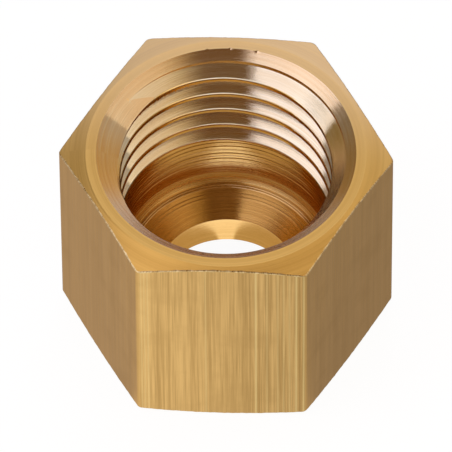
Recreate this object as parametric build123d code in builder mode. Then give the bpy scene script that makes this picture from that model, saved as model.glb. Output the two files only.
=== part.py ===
# Union nut of a compression fitting for 8 mm tube, turned from drawn hexagon brass bar.
# Sizes are in millimetres and angles in degrees. The nut stands on its tube end: the origin
# is the centre of that end, +Z points out of the threaded mouth, and two corners of the
# hexagon lie on the X axis, so that two of its flats face -Y and +Y.
import os
from math import radians, sqrt, tan

from build123d import *

# Drawn hexagon bar
across_flats = 17.0
bar_corner_radius = 0.4
nut_length = 14.4

# Both ends are faced to a flat ring, with a shallow chamfer outside it
ring_inset = 0.3
end_chamfer_angle = 14.0

# Internal thread, M14 x 1.5, of 60 degree form
thread_diameter = 14.0
thread_pitch = 1.5
thread_form_angle = 60.0

# Countersunk mouth, wider than the thread by this margin on each side
mouth_margin = 0.6
mouth_half_angle = 57.0

# Tube hole through the closed end, and the conical seat that leads down to it
tube_diameter = 8.0
tube_clearance = 0.075
tube_hole_length = 2.2
hole_edge_break = 0.2
seat_half_angle = 54.0
seat_corner_radius = 0.75

# The thread is five eighths of its sharp form deep, and its core is bored before it is cut
sharp_form_height = thread_pitch / 2 / tan(radians(thread_form_angle / 2))
major_radius = thread_diameter / 2
core_radius = major_radius - sharp_form_height * 5 / 8

mouth_radius = major_radius + mouth_margin
mouth_depth = (mouth_radius - core_radius) / tan(radians(mouth_half_angle))
core_top = nut_length - mouth_depth

tube_hole_radius = tube_diameter / 2 + tube_clearance
seat_rise = (core_radius - tube_hole_radius) / tan(radians(seat_half_angle))
seat_top = tube_hole_length + seat_rise

ring_radius = across_flats / 2 - ring_inset
corner_reach = across_flats / sqrt(3)
corner_drop = (corner_reach - ring_radius) * tan(radians(end_chamfer_angle))

with BuildPart() as union_nut:
    # A length of the bar, its corners rounded by the drawing die
    with BuildSketch() as bar_section:
        RegularPolygon(radius=across_flats / 2, side_count=6, major_radius=False)
        fillet(bar_section.vertices(), radius=bar_corner_radius)
    extrude(amount=nut_length)

    # Facing and chamfering leave only what lies inside this turned outline, and the cone
    # rises and falls along the flats, which bows the bar's edges
    with BuildSketch(Plane.XZ):
        with BuildLine():
            Polyline(
                (0, 0),
                (ring_radius, 0),
                (corner_reach, corner_drop),
                (corner_reach, nut_length - corner_drop),
                (ring_radius, nut_length),
                (0, nut_length),
                close=True,
            )
        make_face()
    revolve(axis=Axis.Z, mode=Mode.INTERSECT)

    # The turned hollow, from the tube hole up through the seat and the thread's core to the
    # mouth, with the boring tool's radius at the foot of the core wall
    with BuildSketch(Plane.XZ) as hollow_section:
        with BuildLine():
            Polyline(
                (0, 0),
                (tube_hole_radius + hole_edge_break, 0),
                (tube_hole_radius, hole_edge_break),
                (tube_hole_radius, tube_hole_length),
                (core_radius, seat_top),
                (core_radius, core_top),
                (mouth_radius, nut_length),
                (0, nut_length),
                close=True,
            )
        make_face()
        wall_foot = hollow_section.vertices().sort_by_distance((core_radius, seat_top))[0]
        fillet(wall_foot, radius=seat_corner_radius)
    revolve(axis=Axis.Z, mode=Mode.SUBTRACT)

union_nut.part.label = "union_nut"
os.makedirs("parts", exist_ok=True)
export_step(union_nut.part, "parts/union_nut.step")
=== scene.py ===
from collections import namedtuple
from math import cos, pi, radians, sin, tan

import bpy
import numpy as np
from mathutils import Matrix, Vector


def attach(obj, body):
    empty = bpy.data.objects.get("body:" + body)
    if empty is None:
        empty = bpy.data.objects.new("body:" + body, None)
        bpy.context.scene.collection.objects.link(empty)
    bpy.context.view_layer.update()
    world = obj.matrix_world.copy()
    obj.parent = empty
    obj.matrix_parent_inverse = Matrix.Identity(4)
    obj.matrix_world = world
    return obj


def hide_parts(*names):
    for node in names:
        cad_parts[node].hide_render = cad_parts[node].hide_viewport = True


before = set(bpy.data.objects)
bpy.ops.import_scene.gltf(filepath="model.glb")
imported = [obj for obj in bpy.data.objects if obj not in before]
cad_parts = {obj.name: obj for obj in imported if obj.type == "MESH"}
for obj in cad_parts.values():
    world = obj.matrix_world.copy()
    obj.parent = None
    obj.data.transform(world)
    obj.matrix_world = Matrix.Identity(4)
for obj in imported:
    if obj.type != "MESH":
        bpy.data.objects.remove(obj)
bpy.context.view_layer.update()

# Looks of the brass union nut: one fine mesh with the cut thread, in a white studio.
# The nut's sizes are in millimetres and its angles in radians, counted from +X towards +Y,
# until its vertices are put in metres. The studio's sizes are in metres.
MM = 0.001

# Sizes of the nut, as in the CAD part
ACROSS_FLATS = 17.0
BAR_CORNER_RADIUS = 0.4
NUT_LENGTH = 14.4
RING_RADIUS = 8.2
END_CHAMFER_SLOPE = tan(radians(14.0))
THREAD_MAJOR = 7.0
PITCH = 1.5
FLANK = tan(radians(30.0))
THREAD_CORE = THREAD_MAJOR - PITCH / 2 / FLANK * 5 / 8
MOUTH_RADIUS = 7.6
MOUTH_SLOPE = tan(radians(57.0))
HOLE_RADIUS = 4.075
HOLE_LENGTH = 2.2
HOLE_EDGE_BREAK = 0.2
SEAT_HALF_ANGLE = radians(54.0)
SEAT_CORNER_RADIUS = 0.75

# The hexagon, and the centres of its rounded corners, by their distance from the axis
APOTHEM = ACROSS_FLATS / 2
SIDE_ANGLE = pi / 3
HALF_SIDE_ANGLE = pi / 6
HALF_SIDE = APOTHEM * tan(HALF_SIDE_ANGLE)
CORNER_CENTRE = (APOTHEM - BAR_CORNER_RADIUS) / cos(HALF_SIDE_ANGLE)

# The groove of the thread, which fades in from its foot and runs out through the mouth. Its
# flanks are cut a little past the basic form, within the usual tolerance.
THREAD_DEPTH = THREAD_MAJOR - THREAD_CORE
CORE_TOP = NUT_LENGTH - (MOUTH_RADIUS - THREAD_CORE) / MOUTH_SLOPE
FLANK_ALLOWANCE = 0.05
ROOT_HALF_WIDTH = PITCH / 16 + FLANK_ALLOWANCE
GROOVE_TURNS = 4.4
GROOVE_END_ANGLE = radians(-15.0)
GROOVE_FADE_TURNS = 0.45
GROOVE_FOOT = CORE_TOP - GROOVE_TURNS * PITCH
GROOVE_FOOT_ANGLE = GROOVE_END_ANGLE - 2 * pi * GROOVE_TURNS

# The crest's lower edge is broken a little, and two small facets round its upper edge. The
# facets start below the sharp edge, bend near it and end on the flank. Where the groove fades
# in, neither takes more than a share of its depth.
CREST_BREAK = 0.02
FACET_DROP = 0.08
BEND_REACH = 0.028
BEND_DROP = 0.008
FACET_REACH = 0.065
FACET_RISE = FACET_REACH * FLANK
SHARE_OF_DEPTH = 0.3

# In the first turn the thin fin under the mouth is cut away, and the groove is held up at
# the countersink. Both go by the turns above the groove's foot.
FIN_WHOLE_BELOW = 3.88
FIN_GONE_ABOVE = 4.16
MAJOR_TOP = NUT_LENGTH - (MOUTH_RADIUS - THREAD_MAJOR) / MOUTH_SLOPE
RUN_IN_END = (MAJOR_TOP - ROOT_HALF_WIDTH - GROOVE_FOOT) / PITCH

# Burrs hang from the first crest just before the fin ends. Each wave of a ragged edge is given
# by how many there are round the nut and by its phase.
BURR_HANG = 0.07
BURRS_FROM = 3.66
BURRS_TO = 3.92
BURR_LIMIT = 2
BURR_WAVES = ((97, 0), (151, 1), (229, 2))

# Nicks in the mouth's edge at the back. Two plain rings just below it keep them off the cone.
NICK_ANGLES = (radians(78.0), radians(90.0), radians(100.4))
NICK_DEPTH = 0.07
NICK_WIDTH = radians(0.6)
LIP = 0.10
LIP_HEIGHT = NUT_LENGTH - LIP

# The burred edge all round both ends. Its rows lie inward of the flat and along the axis from
# the chamfer's sharp corner, as shares of the edge's width.
RIM_BREAK = 0.07
RIM_RIPPLE = 0.13
RIM_WAVES = ((31, 2), (73, 0), (127, 1))
RIM_ROWS = ((1.0, -END_CHAMFER_SLOPE), (0.3, 0.25), (0.0, 1.0))

# Density of the mesh. Turns are counted from the groove's foot.
BASE_COLUMNS = 600
CORNER_COLUMNS = 11
CORNER_STEPS = 5
ROWS_PER_TURN = 12
TURNS_BELOW = 3
TURNS_ABOVE = 7
SHARP_ANGLE = radians(12.0)
TINY = 1e-9

# Finishes. The first rows of each turn are the root's. The bands that start at the upright
# rows are the root and the crest, which shine like the bored wall.
ZONES = ("flats", "rims", "ends", "mouth", "thread", "bore", "corner", "seat", "hole")
FLATS, RIMS, ENDS, MOUTH, THREAD, BORE, CORNER, SEAT, HOLE = range(len(ZONES))
ROOT_ROWS = 2
UPRIGHT_ROWS = (0, 3, 4, 5, 6, ROWS_PER_TURN - 1)

# Brass. Its grain is noise that is stretched along the drawing streaks or the turning lines.
DRAWN_DRIFT = 0.015
TURNED_DRIFT = 0.003
COARSE_GRAIN = 0.35
FINE_GRAIN = 1.6
TONE_SPAN = (0.36, 0.64)
STAIN_SCALE = 420.0
STAIN_SPAN = (0.45, 0.75)
STAIN_STRENGTH = 0.35
ROUGHNESS_SPAN = (0.3, 0.7)
ROUGHNESS_SPREAD = 0.15
RELIEF_HEIGHT = 0.03 * MM
QUARTER_TURN = 0.25
EDGE_TINT = (0.88, 0.68, 0.50, 1)
# Painted sheen: a paler brass that the faced ends blend towards at the back
SHEEN_BRASS = (1.0, 0.74, 0.44, 1)
SHEEN_SPAN = (-1.5 * MM, 6.5 * MM)

# The streaks are weaker on all flats but the front one, whose middle lies here round the bar
FRONT_MIDDLE = -3 * HALF_SIDE
EVENED = 0.65
EVENED_BLEND = 0.1

# Single marks: on the front flat by their distance to the right of its middle, on the core
# wall by height and on the seat by radius. Each is cut into the bump and tinted. The dark tint
# is painted shade in the groove, and the bright tints are painted highlights.
Line = namedtuple("Line", "place width depth tint")
LINE_SHADE = 0.6
GROOVE_SHADE = (0.25, 0.12, 0.03, 1)
LINE_HIGHLIGHT = (1.0, 0.86, 0.58, 1)
STREAK_HIGHLIGHT = (1.0, 0.78, 0.38, 1)
STRONG_STREAK_HIGHLIGHTS = (2.0, 4.36, 4.80)
SOFT_STREAK_HIGHLIGHTS = (-4.68, -4.50, -4.30, -0.93, 2.65, 3.28, 3.62, 3.97)
SHADED_STREAKS = (1.68, 2.20, 4.58)
SHADED_WALL_LINES = (7.04, 6.67, 5.98, 5.47)
WALL_HIGHLIGHTS = (6.30, 5.70, 5.10)
SHADED_SEAT_LINES = (5.79, 5.68, 5.36, 5.19)
SEAT_HIGHLIGHTS = (5.735, 5.63)

# Camera, as fitted to the photo's outline
IMAGE_SIZE = 452
CAMERA_AZIMUTH = radians(2.25)
CAMERA_ELEVATION = radians(53.94)
CAMERA_ROLL = radians(-0.39)
CAMERA_DISTANCE = 40.25 * ACROSS_FLATS * MM
PIXELS_PER_FLAT = 289.06
SENSOR_WIDTH = 36.0
FRAMING_SHIFT = (0.53, 0.69)
NEAREST_SEEN = 0.01
FARTHEST_SEEN = 50

# White paper under the nut. The camera sees an even glow on it, apart from a share that is
# plain paper and takes the nut's shadow.
WHITE = (1, 1, 1, 1)
FLOOR_HALF = 4.0
PAPER = (0.82, 0.82, 0.82, 1)
SEEN_GLOW = 1.05
SEEN_GLOW_SHARE = 0.9

# What the brass mirrors of the paper: it is bright in front, and dim at the right and behind
GLOW_FRONT = 0.98
GLOW_BEHIND = 0.63
GLOW_RIGHT = 0.70
FRONT_TINT = (1.0, 1.0, 0.91, 1)
SIDE_TINT = (0.97, 1.02, 1.22, 1)
TO_BEHIND = (-8.9 * MM, -7.2 * MM)
TO_RIGHT = (-6 * MM, 9 * MM)

# Under the tube hole it is dim and warm, with a bright patch towards the back
GLOW_PATCH = 1.45
GLOW_MID_HOLE = 0.45
GLOW_HOLE_EDGE = 0.62
MID_HOLE_TINT = (1.0, 0.72, 0.38, 1)
HOLE_EDGE_TINT = (1.0, 0.80, 0.46, 1)
TO_HOLE_EDGE = (1.4 * MM, 3.4 * MM)
TO_OUTSIDE = (4.2 * MM, 5.0 * MM)
PATCH_MIDDLE = -0.18 * MM
PATCH_SIDES = (0.32 * MM, 0.50 * MM)
PATCH_FRONT = (1.35 * MM, 1.6 * MM)
PATCH_BACK = (2.5 * MM, 3.2 * MM)
PATCH_FADE = 0.70

# Soft boxes overhead, by their edges, with a dark gap between the left and the right ones
PANEL_HEIGHT = 0.5
PANELS_END = 0.70
PANELS_FRONT = -0.46
GAP_LEFT = -0.088
FRONT_GAP_LEFT = -0.115
LEFT_FRONT = -0.26
LEFT_BACK = 0.12
RIGHT_STEPS = (0.19, 0.25, 0.33)
RIGHT_BACK = 0.26
BACK_PANEL_FRONT = 0.04
LEFT_TINT = (0.98, 1.0, 1.18)
RIGHT_TINT = (1.0, 0.88, 0.70)
RIGHT_EDGE_TINT = (1.0, 0.84, 0.52)
BEHIND_TINT = (1.0, 0.98, 0.88)

# The room's light by direction: even, with more of it from a backdrop behind, from the right
# and from low in front. The backdrop is cool, the low sides are warm, and overhead it is dark.
ROOM_GLOW = 0.28
BACKDROP_DIRECTION = (0.0, 0.87, 0.47)
BACKDROP_SPAN = (0.72, 1.0)
BACKDROP_GLOW = 0.55
COOL_BACKDROP = (0.92, 1.0, 1.45, 1)
COOL_GAIN = 1.8
RIGHT_SPAN = (-0.5, 0.5)
RIGHT_GLOW = 0.30
FRONT_SPAN = (-0.60, -0.25)
FRONT_GLOW = 0.80
WARM_SIDES = (1.0, 0.66, 0.22, 1)
TO_SIDES = (0.35, 0.60)
LOW_SPAN = (0.35, 0.60)
DARK_OVERHEAD = (0.175, 0.095, 0.040, 1)
TO_OVERHEAD = (0.52, 0.68)
OVERHEAD_BACK = (0.15, 0.50)


def smooth(value, low, high):
    """Rises smoothly from 0 at low to 1 at high."""
    share = np.clip((value - low) / (high - low), 0, 1)
    return share * share * (3 - 2 * share)


def ragged(angle, waves):
    """The sum of these waves round the nut."""
    return sum(np.sin(count * angle + phase) for count, phase in waves)


def from_corner(angle):
    """Signed angle to the nearest corner of the hexagon, at 0, 60, 120 degrees and so on."""
    return np.mod(angle + HALF_SIDE_ANGLE, SIDE_ANGLE) - HALF_SIDE_ANGLE


def corner_arc(bend):
    """Angle about the axis of the point where a rounded corner has turned by this bend."""
    across = BAR_CORNER_RADIUS * np.sin(bend)
    return np.arctan2(across, CORNER_CENTRE + BAR_CORNER_RADIUS * np.cos(bend))


def outline_radius(angle):
    """Distance from the axis to the rounded hexagon."""
    off = np.abs(from_corner(angle))
    flat = APOTHEM / np.cos(HALF_SIDE_ANGLE - off)
    inside = np.maximum(BAR_CORNER_RADIUS ** 2 - (CORNER_CENTRE * np.sin(off)) ** 2, 0)
    rounded = CORNER_CENTRE * np.cos(off) + np.sqrt(inside)
    return np.where(off < corner_arc(HALF_SIDE_ANGLE), rounded, flat)


def column_angles():
    """Angles of the mesh's columns from the groove's foot on, closer together at the corners."""
    arc = corner_arc(np.linspace(-HALF_SIDE_ANGLE, HALF_SIDE_ANGLE, CORNER_COLUMNS))
    corners = np.concatenate([corner * SIDE_ANGLE + arc for corner in range(6)])
    base = np.arange(BASE_COLUMNS) * 2 * pi / BASE_COLUMNS
    clear_of_corners = np.abs(from_corner(base)) > arc.max() + pi / BASE_COLUMNS
    angles = np.concatenate([base[clear_of_corners], corners])
    return np.sort(np.mod(angles - GROOVE_FOOT_ANGLE, 2 * pi))


def groove_depth(turn):
    """Depth of the groove, this many turns above its foot."""
    return THREAD_DEPTH * smooth(turn, 0, GROOVE_FADE_TURNS)


def run_in_rise(turn):
    """How far the groove is held up above its helix in the first turn."""
    left = np.maximum(RUN_IN_END - turn, 0)
    return PITCH * left * smooth(turn, FIN_WHOLE_BELOW, FIN_GONE_ABOVE)


def burr_hang(turn, past_foot):
    """How far the torn edge of the first crest hangs down."""
    tear = np.clip(ragged(past_foot, BURR_WAVES), 0, BURR_LIMIT)
    middle = (BURRS_FROM + BURRS_TO) / 2
    rising = smooth(turn, BURRS_FROM, middle)
    falling = 1 - smooth(turn, middle, BURRS_TO)
    return BURR_HANG * tear * rising * falling


def turn_rows(turn, past_foot):
    """Depth and rise of one turn's rows, from the middle of its groove to the next root."""
    depth = groove_depth(turn)
    next_depth = groove_depth(turn + 1)
    none = np.zeros_like(depth)
    hang = burr_hang(turn, past_foot)
    crest_foot = ROOT_HALF_WIDTH + depth * FLANK
    crest_top = PITCH - ROOT_HALF_WIDTH - next_depth * FLANK
    next_root = PITCH - ROOT_HALF_WIDTH + run_in_rise(turn + 1)
    broken = np.minimum(CREST_BREAK, depth * SHARE_OF_DEPTH)
    facet = np.minimum(next_depth * SHARE_OF_DEPTH, FACET_REACH) / FACET_REACH
    start_depth = FACET_REACH * facet
    start_rise = crest_top + FACET_RISE * facet
    hold = start_depth / np.maximum(next_depth - start_depth, TINY)

    def on_flank(share):
        across = start_depth + (next_depth - start_depth) * share
        return across, start_rise + (next_root - start_rise) * share

    return [
        (depth, none),
        (depth, none + ROOT_HALF_WIDTH),
        (depth / 2, (ROOT_HALF_WIDTH + crest_foot) / 2),
        (broken, crest_foot - broken / 2 - hang),
        (none, crest_foot + broken - hang),
        (none, (crest_foot + crest_top) / 2),
        (none, crest_top - FACET_DROP * facet),
        (BEND_REACH * facet, crest_top - BEND_DROP * facet),
        on_flank(0),
        on_flank(hold),
        on_flank((hold + 1) / 2),
        on_flank(1),
    ]


def thread_rows(past_foot):
    """Radius and height of the thread's rows, which climb with the helix, from the bottom up.

    Each turn has the same rows, so the rows of one turn at the last column run on into the
    rows of the next turn at the first column.
    """
    radius = []
    height = []
    for turn in range(-TURNS_BELOW, TURNS_ABOVE):
        above = turn + past_foot / (2 * pi)
        centre = GROOVE_FOOT + PITCH * above + run_in_rise(above)
        cut_back = THREAD_DEPTH * smooth(above, FIN_WHOLE_BELOW, FIN_GONE_ABOVE)
        for row, (depth, rise) in enumerate(turn_rows(above, past_foot)):
            if row >= ROOT_ROWS:
                depth = np.maximum(depth, cut_back)
            radius.append(THREAD_CORE + depth)
            height.append(centre + rise)
    return np.array(radius), np.maximum.accumulate(np.array(height))


def mouth_cone(height):
    """Radius of the countersink's cone, carried on below and above the mouth."""
    return THREAD_CORE + (height - CORE_TOP) * MOUTH_SLOPE


def into_mouth(radius, height):
    """Lays what the countersink has cut away onto its cone, with a row on each crossing."""
    cone = mouth_cone(height)
    gap = radius - np.where(height > CORE_TOP, cone, -1)
    new_radius = np.where(gap < 0, cone, radius)
    new_height = height.copy()
    ridge = np.zeros(radius.shape, bool)
    for row in range(1, radius.shape[0] - 1):
        for other in (row - 1, row + 1):
            crossing = (gap[row] < 0) & (gap[other] >= 0) & (height[row] < NUT_LENGTH + PITCH)
            over = radius[row] - cone[row]
            fall = over - (radius[other] - cone[other])
            share = np.clip(over / np.where(fall == 0, -1, fall), 0, 1)
            met_radius = radius[row] + (radius[other] - radius[row]) * share
            met_height = height[row] + (height[other] - height[row]) * share
            new_radius[row] = np.where(crossing, met_radius, new_radius[row])
            new_height[row] = np.where(crossing, met_height, new_height[row])
            ridge[row] |= crossing
    return new_radius, new_height, ridge


class Nut:
    """Collects the vertices, faces and finishes of the nut's mesh."""

    def __init__(self):
        self.past_foot = column_angles()
        self.angle = self.past_foot + GROOVE_FOOT_ANGLE
        self.outline = outline_radius(self.angle)
        self.count = len(self.angle)
        self.points = []
        self.faces = []
        self.zones = []
        self.total = 0

    def ring(self, radius, height):
        """Adds one row of vertices, a radius and a height for every column."""
        radius = np.broadcast_to(radius, self.angle.shape)
        height = np.broadcast_to(height, self.angle.shape)
        x = radius * np.cos(self.angle)
        y = radius * np.sin(self.angle)
        self.points.append(np.stack([x, y, height], 1))
        index = np.arange(self.total, self.total + self.count)
        self.total += self.count
        return index

    def face(self, loop, zone):
        """Adds a face without repeated corners, if three or more are left."""
        kept = [vertex for place, vertex in enumerate(loop) if vertex != loop[place - 1]]
        if len(set(kept)) == len(kept) and len(kept) > 2:
            self.faces.append(kept)
            self.zones.append(zone)

    def band(self, lower, upper, zone):
        """Joins two rows round the axis."""
        for column in range(self.count):
            after = (column + 1) % self.count
            self.face((lower[column], lower[after], upper[after], upper[column]), zone)

    def bands(self, rings, zones):
        """Joins each row to the next one."""
        for lower, upper, zone in zip(rings, rings[1:], zones):
            self.band(lower, upper, zone)


def mouth_edge(angle):
    """Radius of the mouth's edge with its nicks."""
    radius = np.full(angle.shape, MOUTH_RADIUS)
    for nick in NICK_ANGLES:
        off = np.mod(angle - nick + pi, 2 * pi) - pi
        radius += NICK_DEPTH * np.exp(-(off / NICK_WIDTH) ** 2)
    return radius


def build_outside(nut):
    """The bar's flats with the faced and chamfered ends, from the hole round to the mouth."""
    drop = (nut.outline - RING_RADIUS) * END_CHAMFER_SLOPE
    edge = RIM_BREAK * (1 + RIM_RIPPLE * ragged(nut.angle, RIM_WAVES))
    low_edge = [
        nut.ring(nut.outline - edge * inward, drop + edge * along)
        for inward, along in RIM_ROWS
    ]
    top_edge = [
        nut.ring(nut.outline - edge * inward, NUT_LENGTH - drop - edge * along)
        for inward, along in reversed(RIM_ROWS)
    ]
    hole_ring = nut.ring(HOLE_RADIUS + HOLE_EDGE_BREAK, 0.0)
    low_ring = nut.ring(RING_RADIUS, 0.0)
    top_ring = nut.ring(RING_RADIUS, NUT_LENGTH)
    mouth = nut.ring(mouth_edge(nut.angle), NUT_LENGTH)
    lip = [
        nut.ring(MOUTH_RADIUS - below * MOUTH_SLOPE, NUT_LENGTH - below)
        for below in (LIP / 2, LIP)
    ]
    rings = [hole_ring, low_ring] + low_edge + top_edge + [top_ring, mouth] + lip
    nut.bands(rings, (ENDS, ENDS, RIMS, RIMS, FLATS, RIMS, RIMS, ENDS, ENDS, MOUTH, MOUTH))
    return hole_ring, lip[-1]


def build_hollow_foot(nut, hole_ring):
    """The tube hole, the conical seat and the boring tool's radius, up to the core wall."""
    slope = tan(SEAT_HALF_ANGLE)
    reach = SEAT_CORNER_RADIUS * tan(SEAT_HALF_ANGLE / 2)
    seat_radius = THREAD_CORE - reach * sin(SEAT_HALF_ANGLE)
    seat_height = HOLE_LENGTH + (seat_radius - HOLE_RADIUS) / slope
    foot = HOLE_LENGTH + (THREAD_CORE - HOLE_RADIUS) / slope
    wall_foot_height = foot + reach
    rings = [
        hole_ring,
        nut.ring(HOLE_RADIUS, HOLE_EDGE_BREAK),
        nut.ring(HOLE_RADIUS, HOLE_LENGTH),
        nut.ring(seat_radius, seat_height),
    ]
    for step in range(1, CORNER_STEPS + 1):
        bend = SEAT_HALF_ANGLE * (1 - step / CORNER_STEPS)
        radius = THREAD_CORE - SEAT_CORNER_RADIUS * (1 - cos(bend))
        rings.append(nut.ring(radius, wall_foot_height - SEAT_CORNER_RADIUS * sin(bend)))
    nut.bands(rings[::-1], (CORNER,) * CORNER_STEPS + (SEAT, HOLE, HOLE))
    return rings[-1], wall_foot_height


def build_thread(nut, wall_foot, wall_foot_height, lip):
    """The core wall with the thread's groove, and the countersink that cuts into both."""
    radius, height, ridge = into_mouth(*thread_rows(nut.past_foot))
    rows = radius.shape[0]
    index = np.zeros((rows, nut.count), int)
    for row in range(rows):
        index[row] = nut.ring(radius[row], height[row])
        low = height[row] <= wall_foot_height
        high = height[row] >= LIP_HEIGHT
        index[row] = np.where(low, wall_foot, np.where(high, lip, index[row]))
        ridge[row] &= ~low & ~high
    on_cone = np.isclose(radius, mouth_cone(height)) | (height >= LIP_HEIGHT)
    for column in range(nut.count):
        last = column == nut.count - 1
        after = 0 if last else column + 1
        shift = ROWS_PER_TURN if last else 0
        for row in range(rows - 1 - shift):
            other = row + shift
            corners = ((row, column), (other, after), (other + 1, after), (row + 1, column))
            below_groove = row < (TURNS_BELOW - 1) * ROWS_PER_TURN
            upright = row % ROWS_PER_TURN in UPRIGHT_ROWS
            wall = BORE if upright or below_groove else THREAD
            if ridge[row][column] and ridge[other + 1][after]:
                loops = (corners[:3], corners[2:] + corners[:1])
            elif ridge[other][after] and ridge[row + 1][column]:
                loops = (corners[1:], corners[3:] + corners[:2])
            else:
                loops = (corners,)
            for loop in loops:
                zone = MOUTH if all(on_cone[corner] for corner in loop) else wall
                nut.face([index[corner] for corner in reversed(loop)], zone)


def bar_coordinates(places, zone_is_flats, face_of_loop, first_angle):
    """Places on the bar in millimetres: round it, and up a flat or along a turned profile."""
    angle = np.arctan2(places[:, 1], places[:, 0])
    angle += np.round((first_angle[face_of_loop] - angle) / (2 * pi)) * 2 * pi
    off = from_corner(angle)
    side = np.round((angle - off) / SIDE_ANGLE)
    along = HALF_SIDE - APOTHEM * np.tan(HALF_SIDE_ANGLE - np.abs(off))
    round_bar = side * 2 * HALF_SIDE + np.sign(off) * along
    radius = np.hypot(places[:, 0], places[:, 1])
    upward = places[:, 2] + np.where(zone_is_flats[face_of_loop], 0, radius)
    return np.stack([round_bar, upward], 1)


def add_bar_map(mesh, zones):
    """A UV map that holds the bar coordinates."""
    vertex_of_loop = np.zeros(len(mesh.loops), np.int32)
    mesh.loops.foreach_get("vertex_index", vertex_of_loop)
    places = np.zeros(len(mesh.vertices) * 3, np.float32)
    mesh.vertices.foreach_get("co", places)
    places = places.reshape(-1, 3)[vertex_of_loop] / MM
    total = np.zeros(len(mesh.polygons), np.int32)
    start = np.zeros(len(mesh.polygons), np.int32)
    mesh.polygons.foreach_get("loop_total", total)
    mesh.polygons.foreach_get("loop_start", start)
    face_of_loop = np.repeat(np.arange(len(mesh.polygons)), total)
    first_angle = np.arctan2(places[start, 1], places[start, 0])
    on_bar = bar_coordinates(places, zones == FLATS, face_of_loop, first_angle)
    layer = mesh.uv_layers.new(name="Bar")
    layer.data.foreach_set("uv", on_bar.astype(np.float32).ravel())


def new_object(name, data):
    """An object with this data, in the scene."""
    thing = bpy.data.objects.new(name, data)
    bpy.context.scene.collection.objects.link(thing)
    return thing


def nut_object(materials):
    """Builds the nut's mesh object at the origin, in metres."""
    nut = Nut()
    hole_ring, lip = build_outside(nut)
    wall_foot, wall_foot_height = build_hollow_foot(nut, hole_ring)
    build_thread(nut, wall_foot, wall_foot_height, lip)
    points = np.concatenate(nut.points) * MM
    used = np.zeros(len(points), bool)
    for face in nut.faces:
        used[face] = True
    renumber = np.cumsum(used) - 1
    faces = [[int(renumber[vertex]) for vertex in face] for face in nut.faces]
    zones = np.array(nut.zones, np.int32)
    mesh = bpy.data.meshes.new("nut_turned")
    mesh.from_pydata(points[used].tolist(), [], faces)
    for zone in ZONES:
        mesh.materials.append(materials[zone])
    mesh.polygons.foreach_set("material_index", zones)
    add_bar_map(mesh, zones)
    mesh.polygons.foreach_set("use_smooth", np.ones(len(faces), bool))
    mesh.set_sharp_from_angle(angle=SHARP_ANGLE)
    mesh.update()
    return new_object("nut_turned", mesh)


class Nodes:
    """A short way to add and join shader nodes."""

    # Which inputs of a mix node are the factor and the two colours, and which output is theirs
    MIX_INPUTS = (0, 6, 7)
    MIX_OUTPUT = 2

    def __init__(self, tree):
        self.tree = tree
        tree.nodes.clear()

    def put(self, socket, value):
        """Joins a socket to another, or sets it to a constant."""
        if isinstance(value, bpy.types.NodeSocket):
            self.tree.links.new(value, socket)
        else:
            socket.default_value = value

    def add(self, kind, inputs=None, **settings):
        """A node with these settings and inputs."""
        node = self.tree.nodes.new(kind)
        for name, value in settings.items():
            setattr(node, name, value)
        for name, value in (inputs or {}).items():
            self.put(node.inputs[name], value)
        return node

    def math(self, operation, a, b=0.0):
        return self.add("ShaderNodeMath", {0: a, 1: b}, operation=operation).outputs[0]

    def plus(self, a, b):
        return self.math("ADD", a, b)

    def minus(self, a, b):
        return self.math("SUBTRACT", a, b)

    def times(self, a, b):
        return self.math("MULTIPLY", a, b)

    def distance(self, a, b):
        return self.math("ABSOLUTE", self.minus(a, b))

    def ramp(self, value, low, high, to_low=0.0, to_high=1.0):
        """Goes smoothly from to_low where value is low to to_high where it is high."""
        inputs = {"Value": value, "From Min": low, "From Max": high}
        inputs.update({"To Min": to_low, "To Max": to_high})
        node = self.add("ShaderNodeMapRange", inputs, interpolation_type="SMOOTHSTEP")
        return node.outputs[0]

    def noise(self, vector, scale, detail, roughness):
        inputs = {"Vector": vector, "Scale": scale, "Detail": detail, "Roughness": roughness}
        return self.add("ShaderNodeTexNoise", inputs).outputs["Fac"]

    def mix(self, factor, a, b, blend="MIX"):
        """Colour a where factor is 0 and colour b where it is 1."""
        node = self.add("ShaderNodeMix", data_type="RGBA", blend_type=blend)
        for socket, value in zip(self.MIX_INPUTS, (factor, a, b)):
            self.put(node.inputs[socket], value)
        return node.outputs[self.MIX_OUTPUT]

    def split(self, vector):
        return self.add("ShaderNodeSeparateXYZ", {0: vector}).outputs


def new_material(name):
    """A material and the nodes to fill it with."""
    material = bpy.data.materials.new(name)
    material.use_nodes = True
    return material, Nodes(material.node_tree)


def grain_noise(nodes, across, along, grain, drift):
    """Coarse and fine noise that changes quickly across the grain and slowly along it."""
    stretched = nodes.add("ShaderNodeCombineXYZ", {0: across, 1: nodes.times(along, drift)})
    coarse = nodes.noise(stretched.outputs[0], grain * COARSE_GRAIN, detail=3.0, roughness=0.6)
    fine = nodes.noise(stretched.outputs[0], grain * FINE_GRAIN, detail=2.0, roughness=0.7)
    return coarse, fine


def even_out(nodes, tone, round_bar, middle):
    """Draws the tone towards its mean on all sides but the one with this middle."""
    away = nodes.distance(round_bar, middle)
    evened = nodes.ramp(away, HALF_SIDE - EVENED_BLEND, HALF_SIDE, 0.0, EVENED)
    return nodes.plus(tone, nodes.times(evened, nodes.minus(0.5, tone)))


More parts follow.
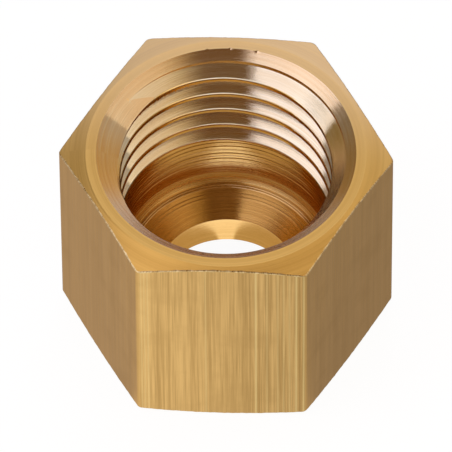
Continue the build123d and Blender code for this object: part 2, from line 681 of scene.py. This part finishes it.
def brass(name, light, dark, roughness, grain, anisotropy=1.0, relief=0.4, drawn=False,
          lines=(), sheen_behind=0.0, streaked_side=None):
    """Brass with drawing streaks or turning rings, stains, and single tool lines in painted
    highlight and painted shade.

    The grain is about the number of streaks to a millimetre. Where streaked_side gives the
    middle of a side, the streaks are weaker on the other sides.
    """
    material, nodes = new_material(name)
    place = nodes.add("ShaderNodeTexCoord").outputs["Object"]
    round_bar, upward, _ = nodes.split(nodes.add("ShaderNodeUVMap", uv_map="Bar").outputs[0])
    across, along = (round_bar, upward) if drawn else (upward, round_bar)
    drift = DRAWN_DRIFT if drawn else TURNED_DRIFT
    coarse, fine = grain_noise(nodes, across, along, grain, drift)
    height = nodes.plus(nodes.times(coarse, 0.5), nodes.times(fine, 0.5))
    tone = nodes.ramp(height, *TONE_SPAN)
    if streaked_side is not None:
        tone = even_out(nodes, tone, round_bar, streaked_side)
    shade = nodes.mix(tone, (*dark, 1), (*light, 1))
    stains = nodes.noise(place, STAIN_SCALE, detail=3.0, roughness=0.55)
    shade = nodes.mix(nodes.ramp(stains, *STAIN_SPAN, 0.0, STAIN_STRENGTH), shade, (*dark, 1))
    # Each line is cut into the bump, and its tint is painted highlight or painted shade
    for line in lines:
        cut = nodes.ramp(nodes.distance(across, line.place), 0.0, line.width, line.depth, 0.0)
        height = nodes.minus(height, cut)
        tinted = nodes.math("MINIMUM", nodes.times(cut, LINE_SHADE), 1.0)
        shade = nodes.mix(tinted, shade, line.tint)
    # Painted sheen that makes the brass paler towards the back
    if sheen_behind:
        behind = nodes.ramp(nodes.split(place)[1], *SHEEN_SPAN, 0.0, sheen_behind)
        shade = nodes.mix(behind, shade, SHEEN_BRASS)
    smoother = roughness * (1 - ROUGHNESS_SPREAD)
    rougher = roughness * (1 + ROUGHNESS_SPREAD)
    bump = {"Strength": relief, "Distance": RELIEF_HEIGHT, "Height": height}
    tangent = nodes.add("ShaderNodeTangent", direction_type="UV_MAP", uv_map="Bar")
    shader = nodes.add("ShaderNodeBsdfPrincipled", {
        "Base Color": shade,
        "Metallic": 1.0,
        "Roughness": nodes.ramp(fine, *ROUGHNESS_SPAN, smoother, rougher),
        "Normal": nodes.add("ShaderNodeBump", bump).outputs[0],
        "Specular Tint": EDGE_TINT,
        "Anisotropic": anisotropy,
        "Anisotropic Rotation": 0.0 if drawn else QUARTER_TURN,
        "Tangent": tangent.outputs[0],
    })
    nodes.add("ShaderNodeOutputMaterial", {"Surface": shader.outputs[0]})
    return material


def lines_at(places, width, depth, tint):
    """Lines of one kind at these places."""
    return [Line(place, width, depth, tint) for place in places]


def flats_brass():
    """The drawn flats, the front one with stronger streaks than the others and with painted
    streak highlights and shade.
    """
    # Bright streaks on the front flat are painted highlights, and the dark ones painted shade in
    # their grooves
    strong = [FRONT_MIDDLE + aside for aside in STRONG_STREAK_HIGHLIGHTS]
    soft = [FRONT_MIDDLE + aside for aside in SOFT_STREAK_HIGHLIGHTS]
    dark = [FRONT_MIDDLE + aside for aside in SHADED_STREAKS]
    lines = lines_at(strong, width=0.10, depth=0.9, tint=STREAK_HIGHLIGHT)
    lines += lines_at(soft, width=0.08, depth=0.45, tint=STREAK_HIGHLIGHT)
    lines += lines_at(dark, width=0.07, depth=0.45, tint=GROOVE_SHADE)
    return brass("brass_drawn_flats", light=(0.81, 0.52, 0.215), dark=(0.53, 0.32, 0.12),
                 roughness=0.34, grain=5.5, anisotropy=0.5, relief=0.5, drawn=True,
                 lines=lines, streaked_side=FRONT_MIDDLE)


def rims_brass():
    """The burred edges between the flats and the ends, spotted along their length."""
    return brass("brass_burred_rims", light=(0.88, 0.68, 0.38), dark=(0.50, 0.32, 0.13),
                 roughness=0.30, grain=5.0, anisotropy=0.0, relief=0.3, drawn=True)


def ends_brass():
    """The faced ends with their chamfers, a little paler at the back with painted sheen."""
    return brass("brass_faced_ends", light=(0.74, 0.435, 0.115), dark=(0.64, 0.36, 0.088),
                 roughness=0.34, grain=7.0, anisotropy=0.4, sheen_behind=0.30)


def mouth_brass():
    """The countersink, whose pale colour is painted sheen."""
    return brass("brass_countersink", light=(0.77, 0.60, 0.39), dark=(0.71, 0.50, 0.29),
                 roughness=0.14, grain=9.0)


def thread_brass():
    """The cut flanks of the thread, whose pale colour is painted sheen."""
    return brass("brass_cut_thread", light=(0.79, 0.69, 0.52), dark=(0.72, 0.58, 0.39),
                 roughness=0.14, grain=9.0)


def wall_place(height):
    """Where a height on the core wall lies along the turned profile."""
    return THREAD_CORE + height


def bore_brass():
    """The core wall and the crests, with the lines that the boring tool left on the wall, in
    painted shade and painted highlight.
    """
    dark = [wall_place(height) for height in SHADED_WALL_LINES]
    bright = [wall_place(height) for height in WALL_HIGHLIGHTS]
    lines = lines_at(dark, width=0.06, depth=1.0, tint=GROOVE_SHADE)
    lines += lines_at(bright, width=0.05, depth=0.6, tint=LINE_HIGHLIGHT)
    return brass("brass_bored_wall", light=(0.84, 0.59, 0.26), dark=(0.76, 0.50, 0.20),
                 roughness=0.11, grain=8.0, lines=lines)


def corner_brass():
    """The boring tool's radius at the foot of the wall."""
    return brass("brass_bored_corner", light=(0.84, 0.57, 0.23), dark=(0.76, 0.49, 0.18),
                 roughness=0.26, grain=8.0)


def seat_place(radius):
    """Where a radius on the seat lies along the turned profile."""
    return radius + HOLE_LENGTH + (radius - HOLE_RADIUS) / tan(SEAT_HALF_ANGLE)


def seat_brass():
    """The conical seat, with a double line near its outer edge and fainter ones further in, in
    painted highlight and painted shade.
    """
    dark = [seat_place(radius) for radius in SHADED_SEAT_LINES]
    bright = [seat_place(radius) for radius in SEAT_HIGHLIGHTS]
    lines = lines_at(dark, width=0.05, depth=0.9, tint=GROOVE_SHADE)
    lines += lines_at(bright, width=0.05, depth=0.8, tint=LINE_HIGHLIGHT)
    return brass("brass_turned_seat", light=(0.66, 0.39, 0.125), dark=(0.57, 0.32, 0.09),
                 roughness=0.18, grain=8.0, lines=lines)


def hole_brass():
    """The tube hole."""
    return brass("brass_tube_hole", light=(0.84, 0.56, 0.24), dark=(0.76, 0.48, 0.18),
                 roughness=0.16, grain=8.0)


def nut_materials():
    """One brass finish for each way the nut's surfaces were made."""
    makers = (flats_brass, rims_brass, ends_brass, mouth_brass, thread_brass, bore_brass,
              corner_brass, seat_brass, hole_brass)
    return {zone: maker() for zone, maker in zip(ZONES, makers)}


def add_camera():
    """The photo's view of the nut."""
    level = Vector((cos(CAMERA_AZIMUTH), sin(CAMERA_AZIMUTH), 0))
    back = Vector((
        sin(CAMERA_AZIMUTH) * cos(CAMERA_ELEVATION),
        -cos(CAMERA_AZIMUTH) * cos(CAMERA_ELEVATION),
        sin(CAMERA_ELEVATION),
    ))
    rise = back.cross(level)
    right = cos(CAMERA_ROLL) * level + sin(CAMERA_ROLL) * rise
    up = cos(CAMERA_ROLL) * rise - sin(CAMERA_ROLL) * level
    place = Vector((0, 0, NUT_LENGTH / 2 * MM)) + back * CAMERA_DISTANCE
    data = bpy.data.cameras.new("photo_camera")
    data.sensor_width = SENSOR_WIDTH
    focal_pixels = PIXELS_PER_FLAT * CAMERA_DISTANCE / (ACROSS_FLATS * MM)
    data.lens = focal_pixels / IMAGE_SIZE * SENSOR_WIDTH
    data.shift_x = -FRAMING_SHIFT[0] / IMAGE_SIZE
    data.shift_y = -FRAMING_SHIFT[1] / IMAGE_SIZE
    data.clip_start = NEAREST_SEEN
    data.clip_end = FARTHEST_SEEN
    camera = new_object("photo_camera", data)
    turned = Matrix((right, up, back)).transposed()
    camera.matrix_world = Matrix.Translation(place) @ turned.to_4x4()
    bpy.context.scene.camera = camera


def glow_under_hole(nodes, x, y, off_axis):
    """Glow and tint of the paper that shows in the tube hole."""
    patch = nodes.ramp(nodes.distance(x, PATCH_MIDDLE), *PATCH_SIDES, 1.0, 0.0)
    patch = nodes.times(patch, nodes.ramp(y, *PATCH_FRONT))
    patch = nodes.times(patch, nodes.ramp(y, *PATCH_BACK, 1.0, PATCH_FADE))
    outer = nodes.ramp(off_axis, *TO_HOLE_EDGE)
    dim = nodes.plus(nodes.times(outer, GLOW_HOLE_EDGE - GLOW_MID_HOLE), GLOW_MID_HOLE)
    glow = nodes.plus(dim, nodes.times(patch, nodes.minus(GLOW_PATCH, dim)))
    dim_tint = nodes.mix(outer, MID_HOLE_TINT, HOLE_EDGE_TINT)
    return glow, nodes.mix(patch, dim_tint, WHITE)


def mirrored_glow(nodes):
    """Glow and tint that the brass mirrors of the paper."""
    place = nodes.add("ShaderNodeTexCoord").outputs["Object"]
    x, y, _ = nodes.split(place)
    behind = nodes.ramp(y, *TO_BEHIND)
    aside = nodes.ramp(x, *TO_RIGHT, 1.0, GLOW_RIGHT)
    outside = nodes.plus(nodes.times(behind, GLOW_BEHIND - GLOW_FRONT), GLOW_FRONT)
    outside = nodes.times(outside, aside)
    length = nodes.add("ShaderNodeVectorMath", {0: place}, operation="LENGTH")
    off_axis = length.outputs["Value"]
    inside = nodes.ramp(off_axis, *TO_OUTSIDE, 1.0, 0.0)
    under_hole, hole_tint = glow_under_hole(nodes, x, y, off_axis)
    outside = nodes.times(outside, nodes.minus(1.0, inside))
    glow = nodes.plus(outside, nodes.times(under_hole, inside))
    tint = nodes.mix(behind, FRONT_TINT, SIDE_TINT)
    return glow, nodes.mix(inside, tint, hole_tint)


def paper_material():
    """Paper that is seen as plain white with the nut's soft shadow on it."""
    material, nodes = new_material("floor_white")
    glow, tint = mirrored_glow(nodes)
    rays = nodes.add("ShaderNodeLightPath").outputs
    seen = rays["Is Camera Ray"]
    mirrored = nodes.math("MAXIMUM", rays["Is Glossy Ray"], rays["Is Transmission Ray"])
    share = nodes.math("MAXIMUM", nodes.times(seen, SEEN_GLOW_SHARE), mirrored)
    unseen = nodes.minus(1.0, seen)
    strength = nodes.plus(nodes.times(glow, unseen), nodes.times(seen, SEEN_GLOW))
    tint = nodes.mix(seen, tint, WHITE)
    paper = nodes.add("ShaderNodeBsdfDiffuse", {"Color": PAPER}).outputs[0]
    white = nodes.add("ShaderNodeEmission", {"Color": tint, "Strength": strength}).outputs[0]
    both = nodes.add("ShaderNodeMixShader", {0: share, 1: paper, 2: white}).outputs[0]
    nodes.add("ShaderNodeOutputMaterial", {"Surface": both})
    return material


def add_floor():
    """The sheet of paper."""
    mesh = bpy.data.meshes.new("floor")
    half = FLOOR_HALF
    corners = [(-half, -half, 0), (half, -half, 0), (half, half, 0), (-half, half, 0)]
    mesh.from_pydata(corners, [], [(0, 1, 2, 3)])
    mesh.materials.append(paper_material())
    floor = new_object("floor", mesh)


def add_panel(name, centre, facing, size, radiance, colour):
    """A soft box of this radiance, turned to face along a direction."""
    data = bpy.data.lights.new(name, "AREA")
    data.shape = "RECTANGLE"
    data.size, data.size_y = size
    data.energy = radiance * pi * size[0] * size[1]
    data.color = colour
    lamp = new_object(name, data)
    lamp.location = centre
    lamp.rotation_euler = Vector(facing).to_track_quat("-Z", "Y").to_euler()


def add_ceiling_panel(name, across, back, radiance, colour):
    """A soft box that faces down, from edge to edge across and from front to back."""
    left, right = across
    front, behind = back
    centre = ((left + right) / 2, (front + behind) / 2, PANEL_HEIGHT)
    add_panel(name, centre, (0, 0, -1), (right - left, behind - front), radiance, colour)


def room_light(nodes, direction):
    """Colour of the room in this direction."""
    x, y, z = nodes.split(direction)
    inputs = {0: direction, 1: BACKDROP_DIRECTION}
    towards = nodes.add("ShaderNodeVectorMath", inputs, operation="DOT_PRODUCT")
    backdrop = nodes.ramp(towards.outputs["Value"], *BACKDROP_SPAN, 0.0, BACKDROP_GLOW)
    side = nodes.ramp(x, *RIGHT_SPAN, 0.0, RIGHT_GLOW)
    front = nodes.ramp(y, *FRONT_SPAN, FRONT_GLOW, 0.0)
    bright = nodes.plus(nodes.plus(backdrop, side), nodes.plus(front, ROOM_GLOW))
    room = nodes.add("ShaderNodeCombineColor", {0: bright, 1: bright, 2: bright}).outputs[0]
    cool = nodes.math("MINIMUM", nodes.times(backdrop, COOL_GAIN), 1.0)
    room = nodes.mix(cool, room, COOL_BACKDROP, "MULTIPLY")
    aside = nodes.ramp(nodes.math("ABSOLUTE", x), *TO_SIDES)
    warm = nodes.times(aside, nodes.ramp(z, *LOW_SPAN, 1.0, 0.0))
    room = nodes.mix(warm, room, WARM_SIDES, "MULTIPLY")
    in_front = nodes.ramp(y, *OVERHEAD_BACK, 1.0, 0.0)
    overhead = nodes.times(nodes.ramp(z, *TO_OVERHEAD), in_front)
    return nodes.mix(overhead, room, DARK_OVERHEAD)


def add_world():
    """The room, which the camera sees as white."""
    world = bpy.data.worlds.new("studio")
    world.use_nodes = True
    nodes = Nodes(world.node_tree)
    direction = nodes.add("ShaderNodeTexCoord").outputs["Generated"]
    room = room_light(nodes, direction)
    seen = nodes.add("ShaderNodeLightPath").outputs["Is Camera Ray"]
    colour = nodes.mix(seen, room, WHITE)
    shader = nodes.add("ShaderNodeBackground", {"Color": colour, "Strength": 1.0})
    nodes.add("ShaderNodeOutputWorld", {"Surface": shader.outputs[0]})
    bpy.context.scene.world = world


def add_left_lights():
    """The brightest soft box, and dimmer ones before and behind it."""
    add_ceiling_panel("softbox_left", across=(-PANELS_END, GAP_LEFT),
                      back=(LEFT_FRONT, LEFT_BACK), radiance=1.25, colour=LEFT_TINT)
    add_ceiling_panel("softbox_left_front", across=(-PANELS_END, FRONT_GAP_LEFT),
                      back=(PANELS_FRONT, LEFT_FRONT), radiance=0.84, colour=LEFT_TINT)
    add_ceiling_panel("softbox_left_behind", across=(-0.62, GAP_LEFT),
                      back=(LEFT_BACK, 0.24), radiance=0.25, colour=LEFT_TINT)


def add_right_lights():
    """A soft box that fades towards the gap in two steps, and one behind the gap."""
    edge, inner, main = RIGHT_STEPS
    add_ceiling_panel("softbox_right", across=(main, PANELS_END),
                      back=(PANELS_FRONT, RIGHT_BACK), radiance=0.82, colour=RIGHT_TINT)
    add_ceiling_panel("softbox_right_inner", across=(inner, main),
                      back=(PANELS_FRONT, RIGHT_BACK), radiance=0.62, colour=RIGHT_EDGE_TINT)
    add_ceiling_panel("softbox_right_edge", across=(edge, inner),
                      back=(PANELS_FRONT, BACK_PANEL_FRONT), radiance=0.26,
                      colour=RIGHT_EDGE_TINT)
    add_ceiling_panel("softbox_behind", across=(GAP_LEFT, 0.15),
                      back=(BACK_PANEL_FRONT, 0.30), radiance=0.84, colour=BEHIND_TINT)


def add_side_light():
    """A soft box that stands at the left."""
    add_panel("side_left", centre=(-0.75, -0.17, 0.26), facing=(1, 0, -0.2),
              size=(0.56, 0.36), radiance=1.1, colour=LEFT_TINT)


add_camera()
nut_piece = nut_object(nut_materials())
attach(nut_piece, "root")
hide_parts("union_nut")
add_floor()
add_world()
add_left_lights()
add_right_lights()
add_side_light()
bpy.context.scene.view_settings.view_transform = "Standard"
